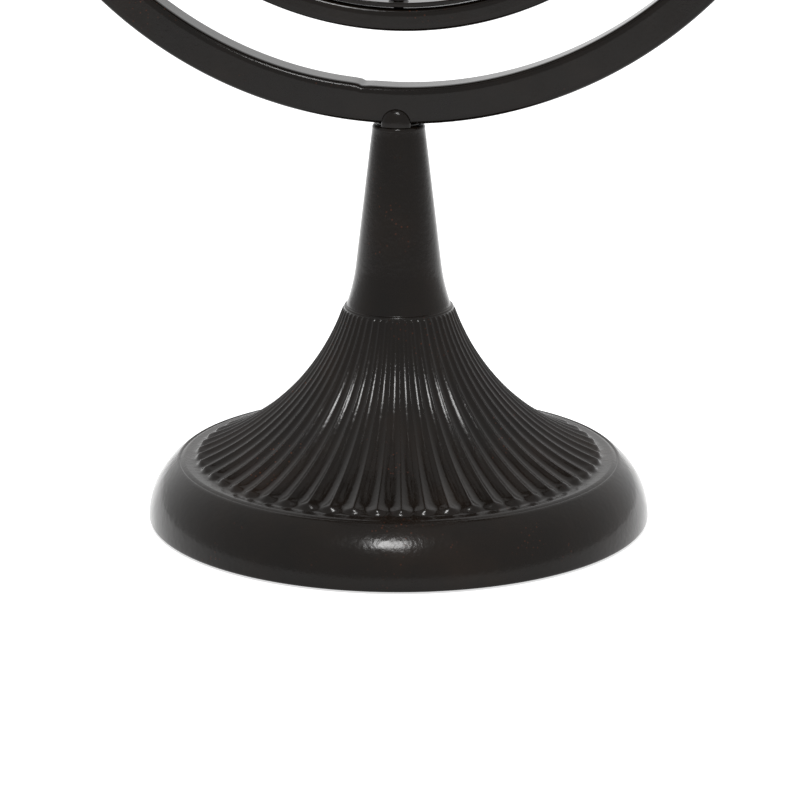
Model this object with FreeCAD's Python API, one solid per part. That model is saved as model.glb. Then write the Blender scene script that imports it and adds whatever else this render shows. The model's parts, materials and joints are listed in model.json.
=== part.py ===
"""Armillary sphere on a trumpet base: painted metal rings that turn inside one another.

Millimetres, +Z up. The origin is on the axis of the base, on the surface it stands on.
The front is -Y: the fixed meridian ring lies in the XZ plane.
"""
import math
import os

import FreeCAD
import Part

Vector = FreeCAD.Vector
X_AXIS = Vector(1, 0, 0)
Y_AXIS = Vector(0, 1, 0)
Z_AXIS = Vector(0, 0, 1)
ORIGIN = Vector(0, 0, 0)

# --- Base: a hollow trumpet-shaped casting on felt pads ---
FOOT_RADIUS = 76.0
FOOT_EDGE = 0.8
SHOULDER_INSET = 9.2
SHOULDER_HEIGHT = 18.6
SHOULDER_BULGE = 2.4
LEDGE_STEP = 0.3
LEDGE_WIDTH = 4.4
FLARE_FOOT_HEIGHT = 20.0
FLUTE_NOSE = 1.1
COLLAR_RADIUS = 16.8
COLLAR_HEIGHT = 66.2
COLLAR_EDGE = 0.7
FLARE_SAG = 7.4
BASE_WALL = 4.0
RIM_WIDTH = 13.0
CAVITY_TOP_HEIGHT = 50.0

# --- Felt pads let into the rim of the base ---
FELT_COUNT = 4
FELT_RADIUS = 4.5
FELT_THICKNESS = 1.6
FELT_PROUD = 0.6
FELT_CLEARANCE = 0.3

# --- Tie rod and its fastening under the base ---
ROD_RADIUS = 3.0
ROD_HOLE_CLEARANCE = 0.4
THREAD_CLEARANCE = 0.05
ROD_TAIL = 4.0
ROD_ENGAGEMENT = 16.0
FENDER_RADIUS = 14.0
FENDER_THICKNESS = 2.0
LOCK_WASHER_RADIUS = 5.6
LOCK_WASHER_THICKNESS = 1.6
LOCK_WASHER_SPLIT = 0.8
NUT_ACROSS_FLATS = 10.0
NUT_THICKNESS = 5.0

# --- Neck sleeve: a hollow cone with a flared foot ---
NECK_FOOT_RADIUS = 15.6
NECK_WAIST_RADIUS = 12.9
NECK_WAIST_RISE = 12.0
NECK_FLARE_SAG = 0.35
NECK_TOP_RADIUS = 7.9
NECK_LENGTH = 55.4
NECK_LIP = 1.2
NECK_WALL = 2.4
NECK_GUIDE_LENGTH = 20.0

# --- Forked post that carries the meridian ring ---
POST_RADIUS = 4.4
POST_CLEARANCE = 0.08
POST_LENGTH = 26.0
POST_SEAT_RADIUS = 6.6
FORK_SHOULDER = 0.6
FORK_CHEEK = 2.0
FORK_RISE = 4.7

# --- Meridian ring: the fixed outer ring ---
MERIDIAN_RADIUS = 130.3
MERIDIAN_THICKNESS = 11.1
MERIDIAN_WIDTH = 11.4
MERIDIAN_EDGE = 1.2

# --- Middle ring: turns about the left-right axis ---
MIDDLE_RADIUS = 102.9
MIDDLE_THICKNESS = 6.8
MIDDLE_WIDTH = 8.8
MIDDLE_EDGE = 1.6

# --- Inner ring: turns about the upright axis of the middle ring ---
RING_GAP = 0.5
INNER_THICKNESS = 1.4
INNER_WIDTH = 8.8
INNER_EDGE = 0.4

# --- Equator and ecliptic bands inside the inner ring ---
BAND_THICKNESS = 1.8
EQUATOR_WIDTH = 10.0
ECLIPTIC_WIDTH = 14.0
BAND_EDGE = 0.4
SEAT_GAP = 0.02
POLAR_TILT = 23.4
ECLIPTIC_TILT = 23.4

# --- Left and right pivots ---
PIVOT_RADIUS = 2.5
PIVOT_CLEARANCE = 0.05
PIVOT_HEAD_RADIUS = 6.0
PIVOT_HEAD_HEIGHT = 3.6
PIVOT_INSET = 0.8
SPACER_RADIUS = 4.6
SPACER_WAIST = 3.6
SPACER_LAND = 3.0
SPACER_RUNNING_GAP = 0.3
SPACER_SEAT_GAP = 0.1

# --- Upper and lower pins that carry the inner ring ---
PIN_RADIUS = 1.5
PIN_CLEARANCE = 0.05
PIN_HEAD_RADIUS = 3.0
PIN_HEAD_HEIGHT = 1.2
PIN_HEAD_GAP = 0.3
FLUSH_RECESS = 0.3

# --- Rivets that pin the three inner bands together ---
RIVET_RADIUS = 1.25
RIVET_HEAD_RADIUS = 2.4
RIVET_HEAD_HEIGHT = 1.1
RIVET_HEAD_GAP = 0.1

# --- Polar arrow and globe ---
ARROW_RADIUS = 2.0
ARROW_HOLE_CLEARANCE = 0.05
ARROW_NUT_RADIUS = 4.0
ARROW_NUT_HEIGHT = 3.4
HEAD_SOCKET_RADIUS = 3.4
HEAD_LENGTH = 26.0
HEAD_HALF_WIDTH = 11.0
HEAD_BARB = 7.0
HEAD_PLATE = 2.4
VANE_LENGTH = 26.0
VANE_HALF_WIDTH = 10.0
VANE_SWEEP = 8.0
VANE_PLATE = 1.6
VANE_NOTCHES = 3
VANE_NOTCH_WIDTH = 1.6
VANE_NOTCH_DEPTH = 4.0
GLOBE_RADIUS = 17.0
GLOBE_CLEARANCE = 0.05
GLOBE_END_GAP = 0.3
GLOBE_SPIGOT_RADIUS = 4.2
GLOBE_SPIGOT_HEIGHT = 1.6
GLOBE_COLLAR_RADIUS = 4.2
GLOBE_COLLAR_HEIGHT = 4.0

# --- Heights and radii that follow from the sizes above ---
FOOT_HEIGHT = FELT_PROUD
SHOULDER_RADIUS = FOOT_RADIUS - SHOULDER_INSET
FLARE_FOOT_RADIUS = SHOULDER_RADIUS - LEDGE_WIDTH
FENDER_FOOT_HEIGHT = CAVITY_TOP_HEIGHT - FENDER_THICKNESS
LOCK_FOOT_HEIGHT = FENDER_FOOT_HEIGHT - LOCK_WASHER_THICKNESS
NUT_FOOT_HEIGHT = LOCK_FOOT_HEIGHT - NUT_THICKNESS
NECK_TOP_HEIGHT = COLLAR_HEIGHT + NECK_LENGTH
MERIDIAN_BOTTOM_HEIGHT = NECK_TOP_HEIGHT + FORK_SHOULDER
CENTRE_HEIGHT = MERIDIAN_BOTTOM_HEIGHT + MERIDIAN_RADIUS
CENTRE = Vector(0, 0, CENTRE_HEIGHT)
MERIDIAN_BORE = MERIDIAN_RADIUS - MERIDIAN_THICKNESS
MIDDLE_BORE = MIDDLE_RADIUS - MIDDLE_THICKNESS
INNER_RADIUS = MIDDLE_BORE - RING_GAP
INNER_BORE = INNER_RADIUS - INNER_THICKNESS
EQUATOR_RADIUS = math.sqrt(INNER_BORE ** 2 - (EQUATOR_WIDTH / 2) ** 2) - SEAT_GAP
EQUATOR_BORE = EQUATOR_RADIUS - BAND_THICKNESS
ECLIPTIC_RADIUS = math.sqrt(EQUATOR_BORE ** 2 - (ECLIPTIC_WIDTH / 2) ** 2) - SEAT_GAP
ECLIPTIC_BORE = ECLIPTIC_RADIUS - BAND_THICKNESS


def profile_point(radius, height):
    """A point of a turned part's half-section, which lies in the XZ plane."""
    return Vector(radius, 0, height)


def line(start, end):
    return Part.LineSegment(start, end).toShape()


def bowed(start, end, sag):
    """An arc from start to end whose middle stands off the chord by sag, to its right."""
    chord = end - start
    middle = (start + end) * 0.5
    side = Vector(chord.z, 0, -chord.x) * (sag / chord.Length)
    return Part.Arc(start, middle + side, end).toShape()


def turned(edges):
    """A solid of revolution about Z from the edges of its half-section."""
    face = Part.Face(Part.Wire(edges))
    return face.revolve(ORIGIN, Z_AXIS, 360)


def rod(radius, low, high):
    """A cylinder about Z from one height to another."""
    return Part.makeCylinder(radius, high - low, Vector(0, 0, low))


def tube(radius, bore, low, high):
    return rod(radius, low, high).cut(rod(bore, low, high))


def hexagon(across_flats, low, high):
    sides = 6
    corner_radius = across_flats / math.sqrt(3)
    corners = []
    for index in range(sides):
        turn = 2 * math.pi * index / sides
        corners.append(Vector(corner_radius * math.cos(turn), corner_radius * math.sin(turn), low))
    return Part.Face(Part.makePolygon(corners + corners[:1])).extrude(Vector(0, 0, high - low))


def domed_disc(radius, height):
    """A rivet head: flat underneath at height 0, domed on top."""
    apex = profile_point(0, height)
    rim = profile_point(radius, 0)
    middle_radius = radius / math.sqrt(2)
    dome = Part.Arc(apex, profile_point(middle_radius, height / math.sqrt(2)), rim).toShape()
    return turned([dome, line(rim, profile_point(0, 0)), line(profile_point(0, 0), apex)])


def band(radius, thickness, width, edge):
    """A flat ring about Z, centred on the origin, with its four edges rounded."""
    ring = tube(radius, radius - thickness, -width / 2, width / 2)
    rims = [rim for rim in ring.Edges if isinstance(rim.Curve, Part.Circle)]
    return ring.makeFillet(edge, rims)


def upright(shape):
    """Turn a part made about Z so that its axis lies front to back, at the rings' centre."""
    turned_shape = shape.rotated(ORIGIN, X_AXIS, 90)
    return turned_shape.translated(CENTRE)


def along_x(shape, side):
    """Turn a part made about Z so that its +Z points to the given side, at the rings' centre."""
    return shape.rotated(ORIGIN, Y_AXIS, 90 * side).translated(CENTRE)


def polar(shape):
    """Tilt a part made about the globe's axis into place."""
    return shape.rotated(ORIGIN, Y_AXIS, POLAR_TILT).translated(CENTRE)


def flare_arc_centre():
    """Centre and radius of the arc that the trumpet's outside follows."""
    foot = profile_point(FLARE_FOOT_RADIUS, FLARE_FOOT_HEIGHT)
    collar = profile_point(COLLAR_RADIUS, COLLAR_HEIGHT - COLLAR_EDGE)
    chord = collar - foot
    radius = (chord.Length ** 2 / 4 + FLARE_SAG ** 2) / (2 * FLARE_SAG)
    outward = Vector(chord.z, 0, -chord.x) * (1 / chord.Length)
    return (foot + collar) * 0.5 + outward * (radius - FLARE_SAG), radius


def on_circle(centre, radius, angle):
    return profile_point(centre.x + radius * math.cos(angle), centre.z + radius * math.sin(angle))


def cavity_edges():
    """The inside of the trumpet, one wall thickness under the flare, from rim to ceiling."""
    centre, flare_radius = flare_arc_centre()
    radius = flare_radius + BASE_WALL
    foot_angle = math.atan2(FLARE_FOOT_HEIGHT - centre.z, FLARE_FOOT_RADIUS - centre.x) % (2 * math.pi)
    top_angle = math.pi - math.asin((CAVITY_TOP_HEIGHT - centre.z) / radius)
    foot = on_circle(centre, radius, foot_angle)
    middle = on_circle(centre, radius, (foot_angle + top_angle) / 2)
    top = on_circle(centre, radius, top_angle)
    rim = profile_point(FOOT_RADIUS - RIM_WIDTH, FOOT_HEIGHT)
    hole = ROD_RADIUS + ROD_HOLE_CLEARANCE
    ceiling = profile_point(hole, CAVITY_TOP_HEIGHT)
    return [line(ceiling, top), Part.Arc(top, middle, foot).toShape(), line(foot, rim)], rim, ceiling


def felt_places():
    """Turns about the axis at which the felt pads sit, clear of the front."""
    step = 360 / FELT_COUNT
    return [step * (index + 0.5) for index in range(FELT_COUNT)]


def felt_ring(radius, low, high):
    """One disc per felt pad, in the middle of the rim."""
    discs = []
    for turn in felt_places():
        place = Vector(FOOT_RADIUS - RIM_WIDTH / 2, 0, 0)
        disc = rod(radius, low, high).translated(place)
        discs.append(disc.rotated(ORIGIN, Z_AXIS, turn))
    return discs


def base_shell():
    cavity, rim, ceiling = cavity_edges()
    hole = ROD_RADIUS + ROD_HOLE_CLEARANCE
    foot = profile_point(FOOT_RADIUS - FOOT_EDGE, FOOT_HEIGHT)
    foot_top = profile_point(FOOT_RADIUS, FOOT_HEIGHT + FOOT_EDGE)
    shoulder = profile_point(SHOULDER_RADIUS, SHOULDER_HEIGHT)
    ledge = profile_point(SHOULDER_RADIUS, SHOULDER_HEIGHT + LEDGE_STEP)
    nose_foot = profile_point(FLARE_FOOT_RADIUS + FLUTE_NOSE, FLARE_FOOT_HEIGHT - FLUTE_NOSE)
    flare_foot = profile_point(FLARE_FOOT_RADIUS, FLARE_FOOT_HEIGHT)
    collar = profile_point(COLLAR_RADIUS, COLLAR_HEIGHT - COLLAR_EDGE)
    collar_top = profile_point(COLLAR_RADIUS - COLLAR_EDGE, COLLAR_HEIGHT)
    top_hole = profile_point(hole, COLLAR_HEIGHT)
    outside = [
        line(rim, foot),
        line(foot, foot_top),
        bowed(foot_top, shoulder, SHOULDER_BULGE),
        line(shoulder, ledge),
        line(ledge, nose_foot),
        bowed(nose_foot, flare_foot, FLUTE_NOSE * (1 - 1 / math.sqrt(2))),
        bowed(flare_foot, collar, -FLARE_SAG),
        line(collar, collar_top),
        line(collar_top, top_hole),
        line(top_hole, ceiling),
    ]
    shell = turned(outside + cavity)
    for pocket in felt_ring(FELT_RADIUS + FELT_CLEARANCE, FOOT_HEIGHT, FELT_THICKNESS):
        shell = shell.cut(pocket)
    return shell


def felt_pads():
    return Part.makeCompound(felt_ring(FELT_RADIUS, 0, FELT_THICKNESS))


def fender_washer():
    return tube(FENDER_RADIUS, ROD_RADIUS + ROD_HOLE_CLEARANCE, FENDER_FOOT_HEIGHT, CAVITY_TOP_HEIGHT)


def lock_washer():
    low = LOCK_FOOT_HEIGHT
    washer = tube(LOCK_WASHER_RADIUS, ROD_RADIUS + ROD_HOLE_CLEARANCE, low, FENDER_FOOT_HEIGHT)
    corner = Vector(0, -LOCK_WASHER_SPLIT / 2, low)
    split = Part.makeBox(2 * LOCK_WASHER_RADIUS, LOCK_WASHER_SPLIT, LOCK_WASHER_THICKNESS, corner)
    return washer.cut(split)


def rod_nut():
    low = NUT_FOOT_HEIGHT
    high = LOCK_FOOT_HEIGHT
    return hexagon(NUT_ACROSS_FLATS, low, high).cut(rod(ROD_RADIUS + THREAD_CLEARANCE, low, high))


def tie_rod():
    """A rod from below the nut up into the tapped foot of the ring post."""
    return rod(ROD_RADIUS, NUT_FOOT_HEIGHT - ROD_TAIL, NECK_TOP_HEIGHT - POST_LENGTH + ROD_ENGAGEMENT)


def neck_sleeve():
    guide = POST_RADIUS + POST_CLEARANCE
    foot = profile_point(NECK_FOOT_RADIUS, COLLAR_HEIGHT)
    waist = profile_point(NECK_WAIST_RADIUS, COLLAR_HEIGHT + NECK_WAIST_RISE)
    lip = profile_point(NECK_TOP_RADIUS, NECK_TOP_HEIGHT - NECK_LIP)
    lip_top = profile_point(NECK_TOP_RADIUS - NECK_LIP, NECK_TOP_HEIGHT)
    bore_top = profile_point(guide, NECK_TOP_HEIGHT)
    guide_foot = profile_point(guide, NECK_TOP_HEIGHT - NECK_GUIDE_LENGTH)
    bore_foot = profile_point(NECK_FOOT_RADIUS - NECK_WALL, COLLAR_HEIGHT)
    bore_waist = profile_point(NECK_WAIST_RADIUS - NECK_WALL, COLLAR_HEIGHT + NECK_WAIST_RISE)
    return turned([
        bowed(foot, waist, -NECK_FLARE_SAG),
        line(waist, lip),
        bowed(lip, lip_top, NECK_LIP * (1 - 1 / math.sqrt(2)) / math.sqrt(2)),
        line(lip_top, bore_top),
        line(bore_top, guide_foot),
        line(guide_foot, bore_waist),
        line(bore_waist, bore_foot),
        line(bore_foot, foot),
    ])


def arched_block(half_width, depth, low, high):
    """A block with a rounded top whose arch faces the front."""
    front = -depth / 2
    left_foot = Vector(-half_width, front, low)
    left_spring = Vector(-half_width, front, high - half_width)
    right_spring = Vector(half_width, front, high - half_width)
    right_foot = Vector(half_width, front, low)
    arch = Part.Arc(left_spring, Vector(0, front, high), right_spring).toShape()
    sides = [line(left_foot, left_spring), arch, line(right_spring, right_foot), line(right_foot, left_foot)]
    return Part.Face(Part.Wire(sides)).extrude(Vector(0, depth, 0))


def ring_post():
    """A round post with a shoulder and a fork that holds the meridian ring between two cheeks."""
    foot = NECK_TOP_HEIGHT - POST_LENGTH
    depth = MERIDIAN_WIDTH + 2 * FORK_CHEEK
    stem = rod(POST_RADIUS, foot, NECK_TOP_HEIGHT)
    seat = rod(POST_SEAT_RADIUS, NECK_TOP_HEIGHT, MERIDIAN_BOTTOM_HEIGHT)
    fork = arched_block(POST_RADIUS, depth, NECK_TOP_HEIGHT, MERIDIAN_BOTTOM_HEIGHT + FORK_RISE)
    corner = Vector(-POST_RADIUS, -MERIDIAN_WIDTH / 2, MERIDIAN_BOTTOM_HEIGHT)
    slot = Part.makeBox(2 * POST_RADIUS, MERIDIAN_WIDTH, FORK_RISE, corner)
    tapped = rod(ROD_RADIUS + THREAD_CLEARANCE, foot, foot + ROD_ENGAGEMENT)
    return stem.fuse([seat, fork]).removeSplitter().cut(slot).cut(tapped)


def meridian_ring():
    ring = upright(band(MERIDIAN_RADIUS, MERIDIAN_THICKNESS, MERIDIAN_WIDTH, MERIDIAN_EDGE))
    hole = rod(PIVOT_RADIUS + PIVOT_CLEARANCE, -MERIDIAN_RADIUS, MERIDIAN_RADIUS)
    return ring.cut(along_x(hole, 1))


def pivot_pin(side):
    """A headed pin through the meridian ring and its spacer into the middle ring."""
    head = domed_disc(PIVOT_HEAD_RADIUS, PIVOT_HEAD_HEIGHT).translated(Vector(0, 0, MERIDIAN_RADIUS))
    shank = rod(PIVOT_RADIUS, MIDDLE_BORE + PIVOT_INSET, MERIDIAN_RADIUS)
    return along_x(head.fuse(shank), side)


def pivot_spacer(side):
    """A waisted bush that keeps the middle ring in the middle of the meridian ring."""
    seat = math.sqrt(MERIDIAN_BORE ** 2 - SPACER_RADIUS ** 2) - SPACER_SEAT_GAP
    inner_end = MIDDLE_RADIUS + SPACER_RUNNING_GAP
    bore = PIVOT_RADIUS + PIVOT_CLEARANCE
    low_land = profile_point(SPACER_RADIUS, inner_end + SPACER_LAND)
    high_land = profile_point(SPACER_RADIUS, seat - SPACER_LAND)
    spacer = turned([
        line(profile_point(bore, inner_end), profile_point(SPACER_RADIUS, inner_end)),
        line(profile_point(SPACER_RADIUS, inner_end), low_land),
        bowed(low_land, high_land, SPACER_WAIST - SPACER_RADIUS),
        line(high_land, profile_point(SPACER_RADIUS, seat)),
        line(profile_point(SPACER_RADIUS, seat), profile_point(bore, seat)),
        line(profile_point(bore, seat), profile_point(bore, inner_end)),
    ])
    return along_x(spacer, side)


def middle_ring():
    ring = upright(band(MIDDLE_RADIUS, MIDDLE_THICKNESS, MIDDLE_WIDTH, MIDDLE_EDGE))
    pivot_hole = rod(PIVOT_RADIUS + PIVOT_CLEARANCE, -MIDDLE_RADIUS, MIDDLE_RADIUS)
    pin_hole = rod(PIN_RADIUS + PIN_CLEARANCE, -MIDDLE_RADIUS, MIDDLE_RADIUS).translated(CENTRE)
    return ring.cut(along_x(pivot_hole, 1)).cut(pin_hole)


def carrier_pin(up):
    """A pin fixed in the middle ring, with its head inside the inner ring."""
    seat = math.sqrt(INNER_BORE ** 2 - PIN_HEAD_RADIUS ** 2) - PIN_HEAD_GAP
    shank = rod(PIN_RADIUS, seat, MIDDLE_RADIUS - FLUSH_RECESS)
    head = domed_disc(PIN_HEAD_RADIUS, PIN_HEAD_HEIGHT).rotated(ORIGIN, X_AXIS, 180)
    pin = shank.fuse(head.translated(Vector(0, 0, seat)))
    return pin.rotated(ORIGIN, X_AXIS, 0 if up else 180).translated(CENTRE)


def rivet_holes():
    """Holes for the two rivets, along X before the polar tilt."""
    hole = rod(RIVET_RADIUS + PIN_CLEARANCE, -INNER_RADIUS, INNER_RADIUS)
    return hole.rotated(ORIGIN, Y_AXIS, 90)


def inner_ring():
    ring = band(INNER_RADIUS, INNER_THICKNESS, INNER_WIDTH, INNER_EDGE).rotated(ORIGIN, X_AXIS, 90)
    ring = ring.cut(rod(ARROW_RADIUS + ARROW_HOLE_CLEARANCE, -INNER_RADIUS, INNER_RADIUS))
    ring = polar(ring.cut(rivet_holes()))
    pin_hole = rod(PIN_RADIUS + PIN_CLEARANCE, -INNER_RADIUS, INNER_RADIUS)
    return ring.cut(pin_hole.translated(CENTRE))


def equator_band():
    ring = band(EQUATOR_RADIUS, BAND_THICKNESS, EQUATOR_WIDTH, BAND_EDGE)
    return polar(ring.cut(rivet_holes()))


def ecliptic_band():
    ring = band(ECLIPTIC_RADIUS, BAND_THICKNESS, ECLIPTIC_WIDTH, BAND_EDGE)
    return polar(ring.rotated(ORIGIN, X_AXIS, ECLIPTIC_TILT).cut(rivet_holes()))


def band_rivets():
    """Two rivets through the inner ring, the equator band and the ecliptic band."""
    seat = math.sqrt(ECLIPTIC_BORE ** 2 - RIVET_HEAD_RADIUS ** 2) - RIVET_HEAD_GAP
    shank = rod(RIVET_RADIUS, seat, INNER_RADIUS - FLUSH_RECESS)
    head = domed_disc(RIVET_HEAD_RADIUS, RIVET_HEAD_HEIGHT).rotated(ORIGIN, X_AXIS, 180)
    rivet = shank.fuse(head.translated(Vector(0, 0, seat)))
    rivets = [polar(rivet.rotated(ORIGIN, Y_AXIS, 90 * side)) for side in (-1, 1)]
    return Part.makeCompound(rivets)


def polar_rod():
    reach = INNER_RADIUS - FLUSH_RECESS
    return polar(rod(ARROW_RADIUS, -reach, reach))


def arrow_nut_seat():
    """Distance from the centre at which a nut just clears the inner ring."""
    return math.sqrt(INNER_BORE ** 2 - ARROW_NUT_RADIUS ** 2) - SEAT_GAP


def polar_rod_nuts():
    """A hexagon nut inside the inner ring at each end of the rod."""
    seat = arrow_nut_seat()
    bore = rod(ARROW_RADIUS + ARROW_HOLE_CLEARANCE, -seat, seat)
    across_flats = ARROW_NUT_RADIUS * math.sqrt(3)
    upper = hexagon(across_flats, seat - ARROW_NUT_HEIGHT, seat).cut(bore)
    lower = hexagon(across_flats, -seat, ARROW_NUT_HEIGHT - seat).cut(bore)
    return Part.makeCompound([polar(upper), polar(lower)])


def plate(outline, thickness):
    """A flat plate in the XZ plane from its corner points."""
    points = [Vector(x, -thickness / 2, z) for x, z in outline]
    face = Part.Face(Part.makePolygon(points + points[:1]))
    return face.extrude(Vector(0, thickness, 0))


def arrow_head():
    """A barbed plate on a round socket, threaded over the upper end of the rod."""
    tip = arrow_nut_seat() - ARROW_NUT_HEIGHT
    barb = tip - HEAD_LENGTH
    outline = [(0, tip), (HEAD_HALF_WIDTH, barb), (0, barb + HEAD_BARB), (-HEAD_HALF_WIDTH, barb)]
    socket = rod(HEAD_SOCKET_RADIUS, barb, tip)
    bore = rod(ARROW_RADIUS + ARROW_HOLE_CLEARANCE, barb, tip)
    return polar(plate(outline, HEAD_PLATE).fuse(socket).cut(bore))


def arrow_fletching():
    """Two crossed vanes with notched edges on the lower end of the rod."""
    tail = ARROW_NUT_HEIGHT - arrow_nut_seat()
    nose = tail + VANE_LENGTH
    half = VANE_HALF_WIDTH
    outline = [(0, nose + VANE_SWEEP), (half, nose), (half, tail), (0, tail + VANE_SWEEP), (-half, tail), (-half, nose)]
    vane = plate(outline, VANE_PLATE)
    for index in range(VANE_NOTCHES):
        height = tail + VANE_LENGTH * (index + 1) / (VANE_NOTCHES + 1)
        corner = Vector(half - VANE_NOTCH_DEPTH, -VANE_PLATE, height - VANE_NOTCH_WIDTH / 2)
        notch = Part.makeBox(VANE_NOTCH_DEPTH, 2 * VANE_PLATE, VANE_NOTCH_WIDTH, corner)
        vane = vane.cut(notch).cut(notch.rotated(ORIGIN, Z_AXIS, 180))
    socket = rod(HEAD_SOCKET_RADIUS, tail, nose + VANE_SWEEP)
    bore = rod(ARROW_RADIUS + ARROW_HOLE_CLEARANCE, tail, nose + VANE_SWEEP)
    crossed = vane.fuse(vane.rotated(ORIGIN, Z_AXIS, 90)).fuse(socket)
    return polar(crossed.cut(bore))


def globe():
    half = GLOBE_RADIUS + GLOBE_SPIGOT_HEIGHT
    ball = Part.makeSphere(GLOBE_RADIUS)
    spigot = rod(GLOBE_SPIGOT_RADIUS, -half, half)
    return polar(ball.fuse(spigot).cut(rod(ARROW_RADIUS + GLOBE_CLEARANCE, -half, half)))


def globe_collars():
    """A set collar on the rod at each end of the globe."""
    low = GLOBE_RADIUS + GLOBE_SPIGOT_HEIGHT + GLOBE_END_GAP
    high = low + GLOBE_COLLAR_HEIGHT
    bore = ARROW_RADIUS + ARROW_HOLE_CLEARANCE
    upper = tube(GLOBE_COLLAR_RADIUS, bore, low, high)
    lower = tube(GLOBE_COLLAR_RADIUS, bore, -high, -low)
    return Part.makeCompound([polar(upper), polar(lower)])


PIECES = {
    "base_shell": base_shell,
    "felt_pads": felt_pads,
    "fender_washer": fender_washer,
    "lock_washer": lock_washer,
    "rod_nut": rod_nut,
    "tie_rod": tie_rod,
    "neck_sleeve": neck_sleeve,
    "ring_post": ring_post,
    "meridian_ring": meridian_ring,
    "left_pivot_pin": lambda: pivot_pin(-1),
    "right_pivot_pin": lambda: pivot_pin(1),
    "left_spacer": lambda: pivot_spacer(-1),
    "right_spacer": lambda: pivot_spacer(1),
    "middle_ring": middle_ring,
    "upper_carrier_pin": lambda: carrier_pin(True),
    "lower_carrier_pin": lambda: carrier_pin(False),
    "inner_ring": inner_ring,
    "equator_band": equator_band,
    "ecliptic_band": ecliptic_band,
    "band_rivets": band_rivets,
    "polar_rod": polar_rod,
    "polar_rod_nuts": polar_rod_nuts,
    "arrow_head": arrow_head,
    "arrow_fletching": arrow_fletching,
    "globe": globe,
    "globe_collars": globe_collars,
}

os.makedirs("parts", exist_ok=True)
for node, make in PIECES.items():
    shape = make()
    shape.exportStep("parts/" + node + ".step")
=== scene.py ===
"""Looks of the armillary sphere: dark espresso paint on a fluted base, a tapered neck and nested rings."""
import json
import math

import bmesh
import bpy
import numpy as np
from mathutils import Matrix, Vector

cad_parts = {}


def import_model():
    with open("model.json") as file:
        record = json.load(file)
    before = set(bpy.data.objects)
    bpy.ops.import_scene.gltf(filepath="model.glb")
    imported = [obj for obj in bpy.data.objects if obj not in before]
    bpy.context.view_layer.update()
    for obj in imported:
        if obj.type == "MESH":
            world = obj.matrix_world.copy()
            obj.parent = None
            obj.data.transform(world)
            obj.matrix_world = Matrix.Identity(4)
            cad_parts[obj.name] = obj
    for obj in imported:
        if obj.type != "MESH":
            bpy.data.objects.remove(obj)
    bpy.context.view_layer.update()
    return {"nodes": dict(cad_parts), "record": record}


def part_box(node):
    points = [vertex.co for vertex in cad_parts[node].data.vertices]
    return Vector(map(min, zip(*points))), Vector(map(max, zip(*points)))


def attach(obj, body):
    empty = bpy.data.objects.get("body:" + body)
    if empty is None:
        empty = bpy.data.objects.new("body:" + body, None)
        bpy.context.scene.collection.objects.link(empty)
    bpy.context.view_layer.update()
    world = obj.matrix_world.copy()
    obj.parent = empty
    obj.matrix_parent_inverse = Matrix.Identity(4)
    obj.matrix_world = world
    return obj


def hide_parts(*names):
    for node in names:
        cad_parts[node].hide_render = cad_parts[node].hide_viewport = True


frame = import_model()

MM = 0.001
NODES = frame["nodes"]


def reach_inside(bore, half_width):
    """How far from the centre the flat end of a piece of this half width gets in a round bore."""
    return math.sqrt(bore ** 2 - half_width ** 2)


# --- Places read from the frame ---
RING_LOW, RING_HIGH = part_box("meridian_ring")
MIDDLE_LOW, MIDDLE_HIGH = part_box("middle_ring")
INNER_LOW, INNER_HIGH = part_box("inner_ring")
BASE_LOW, BASE_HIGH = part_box("base_shell")
NECK_LOW, NECK_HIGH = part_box("neck_sleeve")
POST_LOW, POST_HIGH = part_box("ring_post")
CENTRE = Vector((0, 0, (RING_LOW.z + RING_HIGH.z) / 2))
RING_RADIUS = RING_HIGH.x
RING_WIDTH = RING_HIGH.y - RING_LOW.y
MIDDLE_RADIUS = MIDDLE_HIGH.x
MIDDLE_WIDTH = MIDDLE_HIGH.y - MIDDLE_LOW.y
INNER_RADIUS = INNER_HIGH.x
INNER_WIDTH = INNER_HIGH.y - INNER_LOW.y
FOOT_RADIUS = BASE_HIGH.x
FOOT_HEIGHT = BASE_LOW.z
COLLAR_HEIGHT = BASE_HIGH.z

# --- Sizes of the rings and bands, in metres ---
RING_THICKNESS = 11.1 * MM
RING_EDGE = 2 * MM
MIDDLE_THICKNESS = 6.8 * MM
MIDDLE_EDGE = 2 * MM
INNER_THICKNESS = 1.4 * MM
INNER_EDGE = 0.4 * MM
WELD_PLACE = 11.5 * MM
WELD_DEPTH = 0.3 * MM
WELD_HALF_WIDTH = 2.2 * MM
WELD_DROOP = 0.4 * MM
WELD_DROOP_LENGTH = 16 * MM
WELD_FADE = 4 * MM
BAND_THICKNESS = 1.8 * MM
BAND_EDGE = 0.5 * MM
EQUATOR_WIDTH = 10 * MM
ECLIPTIC_WIDTH = 14 * MM
SEAT_GAP = 0.02 * MM
RUNNING_GAP = 0.3 * MM
HEAD_GAP = 0.1 * MM
PIN_INSET = 0.3 * MM
RING_BORE = RING_RADIUS - RING_THICKNESS
MIDDLE_BORE = MIDDLE_RADIUS - MIDDLE_THICKNESS
INNER_BORE = INNER_RADIUS - INNER_THICKNESS
EQUATOR_RADIUS = reach_inside(INNER_BORE, EQUATOR_WIDTH / 2) - SEAT_GAP
ECLIPTIC_RADIUS = reach_inside(EQUATOR_RADIUS - BAND_THICKNESS, ECLIPTIC_WIDTH / 2) - SEAT_GAP
POLAR_TILT = math.radians(23.4)
ECLIPTIC_TILT = math.radians(23.4)

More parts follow.
